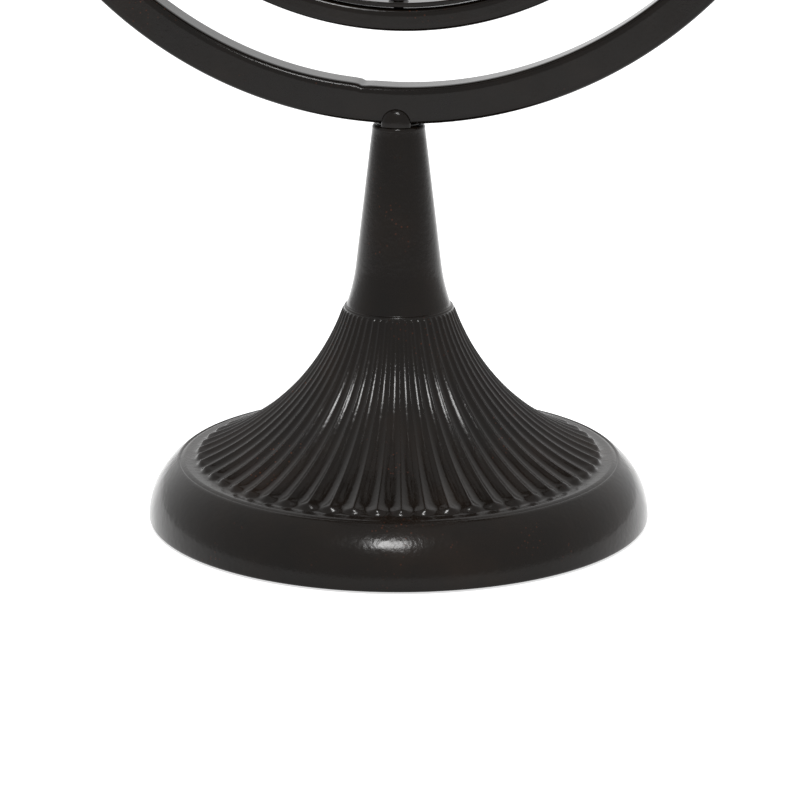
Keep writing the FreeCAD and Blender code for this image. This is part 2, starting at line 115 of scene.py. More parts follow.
# --- Sizes of the base, neck and post ---
FOOT_EDGE = 0.8 * MM
RIM_WIDTH = 13 * MM
COLLAR_RADIUS = 16.8 * MM
COLLAR_EDGE = 0.7 * MM
FLARE_FOOT_RADIUS = FOOT_RADIUS - 13.6 * MM
FLARE_FOOT_HEIGHT = 20 * MM
FLARE_SAG = 7.4 * MM
SHOULDER_RADIUS = FOOT_RADIUS - 9.2 * MM
SHOULDER_HEIGHT = 18.6 * MM
SHOULDER_BULGE = 2.4 * MM
HOLLOW_TOP = 50 * MM
HOLLOW_TOP_RADIUS = 18 * MM
HOLLOW_FOOT = (60.9 * MM, 16.2 * MM)
ROD_HOLE_RADIUS = 3.4 * MM
NECK_FOOT_RADIUS = NECK_HIGH.x
NECK_WAIST_RADIUS = 12.9 * MM
NECK_WAIST_RISE = 12 * MM
NECK_TOP_RADIUS = 7.9 * MM
NECK_LIP = 1.2 * MM
NECK_BORE = 4.5 * MM
NECK_BORE_DEPTH = 20 * MM
NECK_HOLLOW_RADIUS = 10.5 * MM
NECK_HOLLOW_FOOT_RADIUS = 13.2 * MM
POST_RADIUS = 4.4 * MM
POST_BORE = 3.05 * MM
PAD_RADIUS = 4.5 * MM
PAD_HEIGHT = 1.6 * MM
PAD_INSET = 6.5 * MM
PADS = 4

# --- Shape of the flutes; depth and setback are shares of the pitch, rounding of half of it ---
FLUTES = 54
FLUTE_DEPTH = 0.17
FLUTE_HEAD = 0.9 * MM
CREST_ROUNDING = 0.07
CREST_SHARPNESS = 2.1
NOSE_FULLNESS = 0.8
NOSE_LENGTH = 5 * MM
NOSE_DROP = 1.9 * MM
NOSE_SETBACK = 0.32

# --- Sizes of the pins, the bushes and the rivets ---
PIVOT_RADIUS = 2.5 * MM
PIVOT_HEAD_RADIUS = 6 * MM
PIVOT_HEAD_HEIGHT = 3.6 * MM
PIVOT_END_INSET = 0.8 * MM
BUSH_BORE = 2.55 * MM
BUSH_RADIUS = 4.6 * MM
BUSH_EDGE = 0.3 * MM
BUSH_LAND = 3 * MM
BUSH_WAIST = 1 * MM
CARRIER_RADIUS = 1.5 * MM
CARRIER_HEAD_RADIUS = 3 * MM
CARRIER_HEAD_HEIGHT = 1.2 * MM
RIVET_RADIUS = 1.25 * MM
RIVET_HEAD_RADIUS = 2.4 * MM
RIVET_HEAD_HEIGHT = 1.1 * MM

# --- Sizes of the arrow and the globe ---
ROD_RADIUS = 2 * MM
NUT_CORNER = 4 * MM
NUT_LENGTH = 3.4 * MM
SOCKET_RADIUS = 3.4 * MM
HEAD_LENGTH = 26 * MM
HEAD_HALF_WIDTH = 11 * MM
HEAD_NOTCH = 7 * MM
HEAD_THICKNESS = 2.4 * MM
VANE_LENGTH = 26 * MM
VANE_HALF_WIDTH = 10 * MM
VANE_SWEEP = 8 * MM
VANE_THICKNESS = 1.6 * MM
GLOBE_RADIUS = 17 * MM
SPIGOT_RADIUS = 4.2 * MM
SPIGOT_LENGTH = 1.6 * MM
ENGRAVING_DEPTH = 0.28 * MM
ENGRAVING_WIDTH = 0.28 * MM
STOP_RADIUS = 4.2 * MM
STOP_BORE = 2.05 * MM
STOP_LENGTH = 4 * MM

# --- Stage ---
CAMERA_AZIMUTH = math.radians(8.2)
CAMERA_ELEVATION = math.radians(16)
CAMERA_DISTANCE = 1.1
CAMERA_TARGET = Vector((0.0004, 0, 0.0362))
CAMERA_LENS = 163.4
LAMP_TARGET = Vector((0, 0, 0.06))
STUDIO_TURN = math.radians(-5)
FLOOR_RADIUS = 1.1
FLOOR_WHITE = 0.8
FLOOR_GREY = 0.44
FLOOR_GLOW = 0.7
WHITE = (1, 1, 1)

# --- Meshes ---
FLUTE_PHASE = CAMERA_AZIMUTH + math.radians(0.76)
FLUTE_SAMPLES = 14
CREST_CROWDING = 1.4
FLARE_STEPS = 144
CLOSE_FLARE_STEPS = 16
RING_COLUMNS = 720
BAND_COLUMNS = 480
BALL_COLUMNS = 360
BALL_ROWS = 241
NECK_COLUMNS = 224
PIN_COLUMNS = 64
ROD_COLUMNS = 48
SHARP_ANGLE = math.radians(38)
CORE = 0.01 * MM

# The colour sockets of a Mix node, which share their names with its number sockets.
MIX_FIRST, MIX_SECOND, MIX_RESULT = 6, 7, 2


# ------------------------------------------------------------------ materials

def new_material(name):
    material = bpy.data.materials.new(name)
    material.use_nodes = True
    tree = material.node_tree
    return material, tree, tree.nodes["Principled BSDF"]


def noise(tree, vector, scale, detail=2.0, roughness=0.5):
    node = tree.nodes.new("ShaderNodeTexNoise")
    node.inputs["Scale"].default_value = scale
    node.inputs["Detail"].default_value = detail
    node.inputs["Roughness"].default_value = roughness
    tree.links.new(vector, node.inputs["Vector"])
    return node.outputs["Fac"]


def ramp(tree, value, stops):
    node = tree.nodes.new("ShaderNodeValToRGB")
    elements = node.color_ramp.elements
    while len(elements) < len(stops):
        elements.new(0.5)
    for element, (place, colour) in zip(elements, stops):
        element.position = place
        element.color = (*colour, 1)
    tree.links.new(value, node.inputs["Fac"])
    return node.outputs["Color"]


def remap(tree, value, low, high, to_low, to_high):
    node = tree.nodes.new("ShaderNodeMapRange")
    node.inputs["From Min"].default_value = low
    node.inputs["From Max"].default_value = high
    node.inputs["To Min"].default_value = to_low
    node.inputs["To Max"].default_value = to_high
    tree.links.new(value, node.inputs["Value"])
    return node.outputs["Result"]


def calculate(tree, operation, first, second):
    node = tree.nodes.new("ShaderNodeMath")
    node.operation = operation
    tree.links.new(first, node.inputs[0])
    tree.links.new(second, node.inputs[1])
    return node.outputs["Value"]


def mix_colour(tree, factor, first, second):
    node = tree.nodes.new("ShaderNodeMix")
    node.data_type = "RGBA"
    tree.links.new(factor, node.inputs["Factor"])
    tree.links.new(first, node.inputs[MIX_FIRST])
    node.inputs[MIX_SECOND].default_value = (*second, 1)
    return node.outputs[MIX_RESULT]


def bump(tree, height, distance, strength, normal=None):
    node = tree.nodes.new("ShaderNodeBump")
    node.inputs["Distance"].default_value = distance
    node.inputs["Strength"].default_value = strength
    tree.links.new(height, node.inputs["Height"])
    if normal is not None:
        tree.links.new(normal, node.inputs["Normal"])
    return node.outputs["Normal"]


def object_coordinates(tree):
    return tree.nodes.new("ShaderNodeTexCoord").outputs["Object"]


def dark_paint(name, wave, peel, gloss):
    """Espresso paint over iron: brown-black, faintly mottled, with fine orange peel and a few rusty specks.

    wave and peel are the strengths of the broad and the fine unevenness, and gloss is the lowest roughness.
    """
    material, tree, shader = new_material(name)
    place = object_coordinates(tree)
    mottle = ramp(tree, noise(tree, place, 38, 4, 0.6), [
        (0.30, (0.0045, 0.0034, 0.0027)),
        (0.55, (0.0075, 0.0051, 0.0036)),
        (0.75, (0.0120, 0.0074, 0.0048)),
    ])
    cells = tree.nodes.new("ShaderNodeTexVoronoi")
    cells.inputs["Scale"].default_value = 620
    tree.links.new(place, cells.inputs["Vector"])
    dots = remap(tree, cells.outputs["Distance"], 0.10, 0.22, 1, 0)
    patches = remap(tree, noise(tree, place, 55, 2), 0.56, 0.70, 0, 0.7)
    rust = calculate(tree, "MULTIPLY", dots, patches)
    colour = mix_colour(tree, rust, mottle, (0.085, 0.024, 0.010))
    tree.links.new(colour, shader.inputs["Base Color"])
    roughness = remap(tree, noise(tree, place, 110, 3), 0.3, 0.7, gloss, gloss + 0.10)
    tree.links.new(roughness, shader.inputs["Roughness"])
    waves = bump(tree, noise(tree, place, 160, 1), 0.4 * MM, wave)
    skin = bump(tree, noise(tree, place, 700, 2), 0.2 * MM, peel, waves)
    grit = bump(tree, dots, 0.05 * MM, 0.15, skin)
    tree.links.new(grit, shader.inputs["Normal"])
    shader.inputs["Specular IOR Level"].default_value = 0.13
    shader.inputs["Coat Weight"].default_value = 0.4
    shader.inputs["Coat IOR"].default_value = 1.2
    shader.inputs["Coat Roughness"].default_value = 0.12
    return material


def zinc_steel():
    material, tree, shader = new_material("zinc_steel")
    place = object_coordinates(tree)
    colour = ramp(tree, noise(tree, place, 160, 3), [
        (0.35, (0.42, 0.42, 0.40)),
        (0.65, (0.60, 0.60, 0.57)),
    ])
    tree.links.new(colour, shader.inputs["Base Color"])
    roughness = remap(tree, noise(tree, place, 400, 2), 0.3, 0.7, 0.28, 0.45)
    tree.links.new(roughness, shader.inputs["Roughness"])
    tree.links.new(bump(tree, noise(tree, place, 900, 2), 0.05 * MM, 0.2), shader.inputs["Normal"])
    shader.inputs["Metallic"].default_value = 1
    return material


def felt():
    material, tree, shader = new_material("felt")
    place = object_coordinates(tree)
    fibres = noise(tree, place, 1500, 4, 0.7)
    colour = ramp(tree, fibres, [(0.35, (0.012, 0.011, 0.010)), (0.70, (0.050, 0.046, 0.042))])
    tree.links.new(colour, shader.inputs["Base Color"])
    tree.links.new(bump(tree, fibres, 0.2 * MM, 0.6), shader.inputs["Normal"])
    shader.inputs["Roughness"].default_value = 1
    shader.inputs["Sheen Weight"].default_value = 0.2
    return material


CAST_PAINT = dark_paint("cast_paint", wave=0.14, peel=0.34, gloss=0.14)
RING_PAINT = dark_paint("ring_paint", wave=0.07, peel=0.14, gloss=0.10)
ZINC = zinc_steel()
FELT = felt()


# --------------------------------------------------------------------- meshes

def add_piece(name, mesh, material, node):
    """A new piece that stands for a CAD node and rides on that node's body."""
    mesh.materials.append(material)
    mesh.shade_smooth()
    mesh.set_sharp_from_angle(angle=SHARP_ANGLE)
    piece = bpy.data.objects.new(name, mesh)
    bpy.context.scene.collection.objects.link(piece)
    body = body_with(node)
    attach(piece, body)
    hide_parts(node)
    return piece


def body_with(node):
    for body, members in frame["record"]["behaviour"]["bodies"].items():
        if node in members:
            return body
    raise KeyError(node)


def slot_of(node):
    for row in frame["record"]["subparts"]:
        if row["node"] == node:
            return row["material_slot"]
    raise KeyError(node)


def grid_mesh(name, points):
    """A mesh from points[row, column], closed round its columns and its rows."""
    rows, columns = points.shape[:2]
    below = np.arange(rows * columns).reshape(rows, columns)
    above = np.roll(below, -1, 0)
    faces = np.stack([below, np.roll(below, -1, 1), np.roll(above, -1, 1), above], -1).reshape(-1, 4)
    mesh = bpy.data.meshes.new(name)
    mesh.from_pydata(points.reshape(-1, 3).tolist(), [], faces.tolist())
    mesh.update()
    return mesh


def arc(start, end, sag, steps):
    """Points from start to end on an arc that stands off the chord by sag, to its right; start is left out."""
    start = np.array(start, float)
    end = np.array(end, float)
    chord = end - start
    length = np.hypot(*chord)
    side = np.array([chord[1], -chord[0]]) / length
    radius = (length ** 2 / 4 + sag ** 2) / (2 * abs(sag))
    centre = (start + end) / 2 + side * (abs(sag) - radius) * np.sign(sag)
    half = math.asin(length / (2 * radius))
    turns = np.linspace(-half, half, steps + 1)[1:]
    along = chord / length
    out = side * np.sign(sag)
    return [tuple(centre + radius * (math.cos(t) * out + math.sin(t) * along)) for t in turns]


def rounded_outline(corners, steps=5):
    """A closed outline from (r, z, rounding) corners, each rounded, with a point on the flat at either end."""
    outline = []
    for index, (r, z, rounding) in enumerate(corners):
        here = np.array([r, z])
        if rounding <= 0:
            outline.append((r, z))
            continue
        before = np.array(corners[index - 1][:2]) - here
        after = np.array(corners[(index + 1) % len(corners)][:2]) - here
        before *= rounding / np.linalg.norm(before)
        after *= rounding / np.linalg.norm(after)
        outline.append(tuple(here + before * 1.15))
        for t in np.linspace(0, 1, steps + 1):
            outline.append(tuple(here + (1 - t) ** 2 * before + t ** 2 * after))
        outline.append(tuple(here + after * 1.15))
    return outline


def spin_at(outline, turns):
    """points[row, column] of an outline of (r, z) turned about Z to each of the turns."""
    outline = np.array(outline)
    radius = outline[:, 0][:, None]
    height = np.repeat(outline[:, 1][:, None], len(turns), 1)
    return np.stack([radius * np.cos(turns), radius * np.sin(turns), height], -1)


def spin(outline, columns):
    return spin_at(outline, np.linspace(0, 2 * math.pi, columns, endpoint=False))


def moved(points, matrix):
    shape = points.shape
    flat = np.c_[points.reshape(-1, 3), np.ones(points.size // 3)]
    return (flat @ np.array(matrix).T)[:, :3].reshape(shape)


UPRIGHT = Matrix.Translation(CENTRE) @ Matrix.Rotation(math.pi / 2, 4, "X")
POLAR = Matrix.Translation(CENTRE) @ Matrix.Rotation(POLAR_TILT, 4, "Y")
ECLIPTIC = POLAR @ Matrix.Rotation(ECLIPTIC_TILT, 4, "X")


def to_side(side):
    return Matrix.Translation(CENTRE) @ Matrix.Rotation(side * math.pi / 2, 4, "Y")


def band_outline(radius, thickness, width, edge):
    """The section of a flat ring with rounded edges."""
    bore = radius - thickness
    half = width / 2
    corners = [(bore, -half), (radius, -half), (radius, half), (bore, half)]
    return rounded_outline([(*corner, edge) for corner in corners])


def bar_outline(radius, low, high, edge):
    """The section of a solid bar about Z with rounded ends."""
    return rounded_outline([(CORE, low, 0), (radius, low, edge), (radius, high, edge), (CORE, high, 0)])


def tube_outline(radius, bore, low, high, edge):
    """The section of a tube about Z with rounded outer edges."""
    return rounded_outline([(bore, low, 0), (radius, low, edge), (radius, high, edge), (bore, high, 0)])


def lathe(name, node, outline, material, columns, matrix=None):
    points = spin(outline, columns)
    if matrix is not None:
        points = moved(points, matrix)
    return add_piece(name, grid_mesh(name, points), material, node)


# ----------------------------------------------------------------- fluted base

def flare_line():
    """The trumpet's outline from the flute ends up to the collar, with close points at both ends."""
    start = (FLARE_FOOT_RADIUS, FLARE_FOOT_HEIGHT)
    end = (COLLAR_RADIUS, COLLAR_HEIGHT - COLLAR_EDGE)
    line = [start] + arc(start, end, -FLARE_SAG, FLARE_STEPS)
    return line[:CLOSE_FLARE_STEPS] + line[CLOSE_FLARE_STEPS:-3:3] + line[-3:]


def outline_normals(outline):
    """Outward normals of an open outline that runs up the outside."""
    run = np.gradient(np.array(outline), axis=0)
    run /= np.linalg.norm(run, axis=1)[:, None]
    return np.stack([run[:, 1], -run[:, 0]], -1)


def smooth_step(value):
    value = np.clip(value, 0, 1)
    return value * value * (3 - 2 * value)


def quarter_rise(value):
    """From 0 to 1 along a quarter of a circle, steep first."""
    return np.sqrt(1 - (1 - np.clip(value, 0, 1)) ** 2)


def flute_turns():
    """Turns of the columns: close together on the crests, wider apart in the channels."""
    steps = np.arange(FLUTE_SAMPLES) / FLUTE_SAMPLES * 2 - 1
    within = np.sign(steps) * np.abs(steps) ** CREST_CROWDING
    turns = (np.arange(FLUTES)[:, None] + within[None, :] / 2) * 2 * math.pi / FLUTES
    across = np.tile(np.abs(within), FLUTES)
    return turns.ravel() + FLUTE_PHASE - math.pi / 2, across


def ridge_height(along, left, pitch, across):
    """Height of the ribs from 0 in the channels to 1 on the crests, with a rounded nose at the foot."""
    rounded = np.sqrt(across ** 2 + CREST_ROUNDING ** 2) - CREST_ROUNDING
    scallop = (1 - rounded / rounded.max()) ** CREST_SHARPNESS
    dome = np.clip(1 - across ** 2, 0, 1) ** NOSE_FULLNESS
    blend = smooth_step(along / NOSE_LENGTH)
    body = dome[None, :] * (1 - blend) + scallop[None, :] * blend
    start = NOSE_SETBACK * pitch * (1 - np.sqrt(np.clip(1 - across ** 2, 0, 1)))[None, :]
    nose = smooth_step((along - start) / NOSE_DROP)
    head = quarter_rise(left / FLUTE_HEAD)
    return body * nose * head


def between(start, end, places):
    start = np.array(start)
    end = np.array(end)
    return [tuple(start + (end - start) * place) for place in places]


def beside(point, out, up):
    """The point this many millimetres outwards and upwards of another."""
    return (point[0] + out * MM, point[1] + up * MM)


def foot_line():
    """From the inside of the rim under the foot, round the foot and up its wall, over the ledge to the flutes."""
    foot = (FOOT_RADIUS, FOOT_HEIGHT)
    wall = (FOOT_RADIUS, FOOT_HEIGHT + FOOT_EDGE)
    under = (FOOT_RADIUS - FOOT_EDGE, FOOT_HEIGHT)
    shoulder = (SHOULDER_RADIUS, SHOULDER_HEIGHT)
    line = [(FOOT_RADIUS - RIM_WIDTH, FOOT_HEIGHT), beside(foot, -4, 0), under]
    line += arc(under, wall, 0.25 * MM, 5)
    line += arc(wall, shoulder, SHOULDER_BULGE, 24)
    line += arc(shoulder, beside(shoulder, -0.5, -0.2), 0.08 * MM, 3)
    ledge = beside(shoulder, -1.6, 0.3)
    nose = beside((FLARE_FOOT_RADIUS, FLARE_FOOT_HEIGHT), 0.9, -1.15)
    line += [beside(shoulder, -0.9, -0.05), ledge]
    return line + between(ledge, nose, (0.2, 0.5, 0.8, 1))


def hollow_line():
    """From the collar's edge over its top, down the rod's hole and out along the hollow's ceiling."""
    lip = (COLLAR_RADIUS - COLLAR_EDGE, COLLAR_HEIGHT)
    top = (HOLLOW_TOP_RADIUS, HOLLOW_TOP)
    line = arc((COLLAR_RADIUS - 0.3 * MM, COLLAR_HEIGHT - COLLAR_EDGE), lip, 0.15 * MM, 5)
    line += [(ROD_HOLE_RADIUS, COLLAR_HEIGHT), (ROD_HOLE_RADIUS, HOLLOW_TOP), top]
    return line + arc(top, HOLLOW_FOOT, FLARE_SAG, 10)


def fluted_base():
    """The hollow cast base: ribs run down its flare and end in rounded noses on a ledge."""
    turns, across = flute_turns()
    flare = np.array(flare_line())
    steps = np.r_[0, np.cumsum(np.linalg.norm(np.diff(flare, axis=0), axis=1))][:, None]
    pitch = 2 * math.pi * flare[:, :1] / FLUTES
    sunk = FLUTE_DEPTH * pitch * (1 - ridge_height(steps, steps[-1] - steps, pitch, across))
    normals = outline_normals(flare)
    r = flare[:, :1] - normals[:, :1] * sunk
    z = flare[:, 1:] - normals[:, 1:] * sunk
    fluted = np.stack([r * np.cos(turns), r * np.sin(turns), z], -1)
    points = np.concatenate([spin_at(foot_line(), turns), fluted, spin_at(hollow_line(), turns)])
    add_piece("fluted_base", grid_mesh("fluted_base", points), CAST_PAINT, "base_shell")


# ------------------------------------------------------------- neck and post

def neck():
    """A hollow cone with a small fillet and a flare at its foot, and a rounded lip."""
    foot = (NECK_FOOT_RADIUS + 0.2 * MM, NECK_LOW.z)
    fillet_top = (NECK_FOOT_RADIUS, NECK_LOW.z + 0.4 * MM)
    waist = (NECK_WAIST_RADIUS, NECK_LOW.z + NECK_WAIST_RISE)
    lip = (NECK_TOP_RADIUS, NECK_HIGH.z - NECK_LIP)
    outline = [foot] + arc(foot, fillet_top, -0.06 * MM, 4)
    outline += arc(fillet_top, waist, -0.3 * MM, 12)
    outline += between(waist, lip, np.linspace(0.05, 1, 16))
    outline += arc(lip, (NECK_TOP_RADIUS - NECK_LIP, NECK_HIGH.z), 0.42 * MM, 8)
    outline += [(NECK_BORE, NECK_HIGH.z), (NECK_BORE, NECK_HIGH.z - NECK_BORE_DEPTH)]
    outline += [(NECK_HOLLOW_RADIUS, waist[1]), (NECK_HOLLOW_FOOT_RADIUS, NECK_LOW.z)]
    lathe("neck_cone", "neck_sleeve", outline, CAST_PAINT, NECK_COLUMNS)


def ring_post():
    """A round stem and seat, and a fork whose two domed cheeks hold the ring."""
    shoulder = NECK_HIGH.z
    face = RING_WIDTH / 2
    cheek = POST_HIGH.y - face
    stem = tube_outline(POST_RADIUS, POST_BORE, POST_LOW.z, shoulder, 0.3 * MM)
    lathe("post_stem", "ring_post", stem, CAST_PAINT, PIN_COLUMNS)
    seat = bar_outline(POST_HIGH.x, shoulder, RING_LOW.z + 0.1 * MM, 0.25 * MM)
    lathe("post_seat", "ring_post", seat, CAST_PAINT, PIN_COLUMNS)
    spring = POST_HIGH.z - POST_RADIUS
    outline = [(CORE, shoulder), (POST_RADIUS, shoulder), (POST_RADIUS, (shoulder + spring) / 2)]
    for turn in np.linspace(0, 1.56, 16):
        outline.append((POST_RADIUS * math.cos(turn), spring + POST_RADIUS * math.sin(turn)))
    flatten = Matrix.Scale(cheek / POST_RADIUS, 4, (0, 1, 0))
    for name, side in (("front_cheek", -1), ("back_cheek", 1)):
        place = Matrix.Translation((0, side * face, 0)) @ flatten
        lathe(name, "ring_post", outline, CAST_PAINT, PIN_COLUMNS, place)


# ----------------------------------------------------------------------- rings

def meridian_ring():
    """The outer ring, with the ground-back weld of its butt joint near the lowest point."""
    outline = band_outline(RING_RADIUS, RING_THICKNESS, RING_WIDTH, RING_EDGE)
    points = spin(outline, RING_COLUMNS)
    turns = np.linspace(0, 2 * math.pi, RING_COLUMNS, endpoint=False)
    from_lowest = (turns + math.pi / 2 + math.pi) % (2 * math.pi) - math.pi
    from_weld = from_lowest * RING_RADIUS + WELD_PLACE
    groove = -WELD_DEPTH * np.exp(-(from_weld / WELD_HALF_WIDTH) ** 2)
    droop = WELD_DROOP * np.exp(-np.abs(from_weld) / WELD_DROOP_LENGTH) * (from_weld < 0)
    at_bore = np.clip(1 - (np.array(outline)[:, 0] - RING_BORE) / WELD_FADE, 0, 1)
    shift = (groove + droop)[None, :] * at_bore[:, None]
    radial = np.stack([np.cos(turns), np.sin(turns), np.zeros(RING_COLUMNS)], -1)
    points = points - shift[..., None] * radial[None]
    add_piece("outer_ring", grid_mesh("outer_ring", moved(points, UPRIGHT)), RING_PAINT, "meridian_ring")


def ring_piece(name, node, radius, thickness, width, edge, matrix):
    outline = band_outline(radius, thickness, width, edge)
    lathe(name, node, outline, RING_PAINT, BAND_COLUMNS, matrix)


def rings():
    meridian_ring()
    ring_piece("second_ring", "middle_ring", MIDDLE_RADIUS, MIDDLE_THICKNESS, MIDDLE_WIDTH, MIDDLE_EDGE, UPRIGHT)
    ring_piece("third_ring", "inner_ring", INNER_RADIUS, INNER_THICKNESS, INNER_WIDTH, INNER_EDGE, UPRIGHT)
    ring_piece("equator_hoop", "equator_band", EQUATOR_RADIUS, BAND_THICKNESS, EQUATOR_WIDTH, BAND_EDGE, POLAR)
    ring_piece("ecliptic_hoop", "ecliptic_band", ECLIPTIC_RADIUS, BAND_THICKNESS, ECLIPTIC_WIDTH, BAND_EDGE,
               ECLIPTIC)


# ------------------------------------------------------------- pins and bushes

def head_dome(radius, base, height):
    """The domed top of a rivet head, from its rim to its middle."""
    chord = math.hypot(radius, height)
    sag = (math.sqrt(2) - 1) * radius * height / chord
    return arc((radius, base), (CORE, base + height), sag, 12)


def headed_pin(name, node, radius, low, high, head_radius, head_height, matrix):
    """A pin about Z from low to high, with a domed head on its high end."""
    outline = [(CORE, low), (radius, low), (radius, high), (head_radius, high - 0.02 * MM)]
    outline += head_dome(head_radius, high, head_height)
    lathe(name, node, outline, RING_PAINT, PIN_COLUMNS, matrix)


def bush_outline(low, high):
    """A bush with small chamfers, a straight land at either end and a waist between them."""
    return [
        (BUSH_BORE, low),
        (BUSH_RADIUS - BUSH_EDGE, low),
        (BUSH_RADIUS, low + BUSH_EDGE),
        (BUSH_RADIUS, low + BUSH_LAND),
        *arc((BUSH_RADIUS, low + BUSH_LAND), (BUSH_RADIUS, high - BUSH_LAND), -BUSH_WAIST, 16),
        (BUSH_RADIUS, high - BUSH_EDGE),
        (BUSH_RADIUS - BUSH_EDGE, high),
        (BUSH_BORE, high),
    ]


def pins():
    """The pivots and bushes between the two big rings, the carriers of the inner ring and the bands' rivets."""
    low = MIDDLE_RADIUS + RUNNING_GAP
    high = reach_inside(RING_BORE, BUSH_RADIUS) - HEAD_GAP
    for word, side in (("left", -1), ("right", 1)):
        headed_pin(word + "_pin", word + "_pivot_pin", PIVOT_RADIUS, MIDDLE_BORE + PIVOT_END_INSET, RING_RADIUS,
                   PIVOT_HEAD_RADIUS, PIVOT_HEAD_HEIGHT, to_side(side))
        bush = bush_outline(low, high)
        lathe(word + "_bush", word + "_spacer", bush, RING_PAINT, PIN_COLUMNS, to_side(side))
    seat = reach_inside(INNER_BORE, CARRIER_HEAD_RADIUS) - RUNNING_GAP
    for word, turn in (("upper", 0), ("lower", math.pi)):
        flip = Matrix.Translation(CENTRE) @ Matrix.Rotation(turn + math.pi, 4, "X")
        headed_pin(word + "_pin", word + "_carrier_pin", CARRIER_RADIUS, PIN_INSET - MIDDLE_RADIUS, -seat,
                   CARRIER_HEAD_RADIUS, CARRIER_HEAD_HEIGHT, flip)
    seat = reach_inside(ECLIPTIC_RADIUS - BAND_THICKNESS, RIVET_HEAD_RADIUS) - HEAD_GAP
    for word, side in (("left", -1), ("right", 1)):
        across = POLAR @ Matrix.Rotation(side * math.pi / 2, 4, "Y")
        headed_pin(word + "_rivet", "band_rivets", RIVET_RADIUS, PIN_INSET - INNER_RADIUS, -seat,
                   RIVET_HEAD_RADIUS, RIVET_HEAD_HEIGHT, across)


# -------------------------------------------------------------- arrow and globe

def extruded(name, node, outline, thickness, matrix, edge):
    """A flat plate in the XZ plane with softened edges."""
    count = len(outline)
    points = [(x, side * thickness / 2, z) for side in (-1, 1) for x, z in outline]
    sides = [(i, (i + 1) % count, count + (i + 1) % count, count + i) for i in range(count)]
    mesh = bpy.data.meshes.new(name)
    mesh.from_pydata([matrix @ Vector(point) for point in points], [],
                     sides + [tuple(range(count - 1, -1, -1)), tuple(range(count, 2 * count))])
    work = bmesh.new()
    work.from_mesh(mesh)
    bmesh.ops.recalc_face_normals(work, faces=work.faces)
    work.to_mesh(mesh)
    work.free()
    piece = add_piece(name, mesh, RING_PAINT, node)
    modifier = piece.modifiers.new("soft_edges", "BEVEL")
    modifier.width = edge
    modifier.segments = 3
    modifier.limit_method = "ANGLE"
    modifier.angle_limit = math.radians(30)
    modifier.harden_normals = True


def hexagon_nut(name, node, low, high, matrix):
    turns = [math.pi / 3 * index for index in range(6)]
    outline = [(NUT_CORNER * math.cos(turn), NUT_CORNER * math.sin(turn)) for turn in turns]
    stand = Matrix.Translation((0, 0, (low + high) / 2)) @ Matrix.Rotation(-math.pi / 2, 4, "X")
    extruded(name, node, outline, high - low, matrix @ stand, 0.4 * MM)


def arrow():
    """The polar axis: a rod held by two nuts, with an arrow's head on top and four vanes at its foot."""
    reach = INNER_RADIUS - PIN_INSET
    rod = bar_outline(ROD_RADIUS, -reach, reach, 0.3 * MM)
    lathe("arrow_shaft", "polar_rod", rod, RING_PAINT, ROD_COLUMNS, POLAR)
    seat = reach_inside(INNER_BORE, NUT_CORNER) - SEAT_GAP
    tip = seat - NUT_LENGTH
    hexagon_nut("upper_nut", "polar_rod_nuts", tip, seat, POLAR)
    hexagon_nut("lower_nut", "polar_rod_nuts", -seat, -tip, POLAR)
    barb = tip - HEAD_LENGTH
    head = [(0, tip), (HEAD_HALF_WIDTH, barb), (0, barb + HEAD_NOTCH), (-HEAD_HALF_WIDTH, barb)]
    extruded("head_plate", "arrow_head", head, HEAD_THICKNESS, POLAR, 0.6 * MM)
    socket = bar_outline(SOCKET_RADIUS, barb, tip, 0.8 * MM)
    lathe("head_socket", "arrow_head", socket, RING_PAINT, ROD_COLUMNS, POLAR)
    nose = -tip + VANE_LENGTH
    for name, turn in (("wide_vane", 0), ("cross_vane", math.pi / 2)):
        vane = POLAR @ Matrix.Rotation(turn, 4, "Z")
        extruded(name, "arrow_fletching", vane_outline(-tip, nose), VANE_THICKNESS, vane, 0.35 * MM)
    socket = bar_outline(SOCKET_RADIUS, -tip, nose + VANE_SWEEP, 0.8 * MM)
    lathe("vane_socket", "arrow_fletching", socket, RING_PAINT, ROD_COLUMNS, POLAR)


def vane_outline(tail, nose):
    """A swept vane with three square notches in each long edge."""
    half = VANE_HALF_WIDTH
    depth = 4 * MM
    notch = 0.8 * MM
    right = [(half, tail)]
    for index in range(3):
        height = tail + (nose - tail) * (index + 1) / 4
        right += [(half, height - notch), (half - depth, height - notch),
                  (half - depth, height + notch), (half, height + notch)]
    right.append((half, nose))
    left = [(-x, z) for x, z in reversed(right)]
    return right + [(0, nose + VANE_SWEEP)] + left + [(0, tail + VANE_SWEEP)]


def engraving(along, pitch):
    """1 in the middle of a fine line at each multiple of the pitch, 0 away from the lines."""
    offset = (along + pitch / 2) % pitch - pitch / 2
    return np.exp(-(offset / ENGRAVING_WIDTH) ** 2)


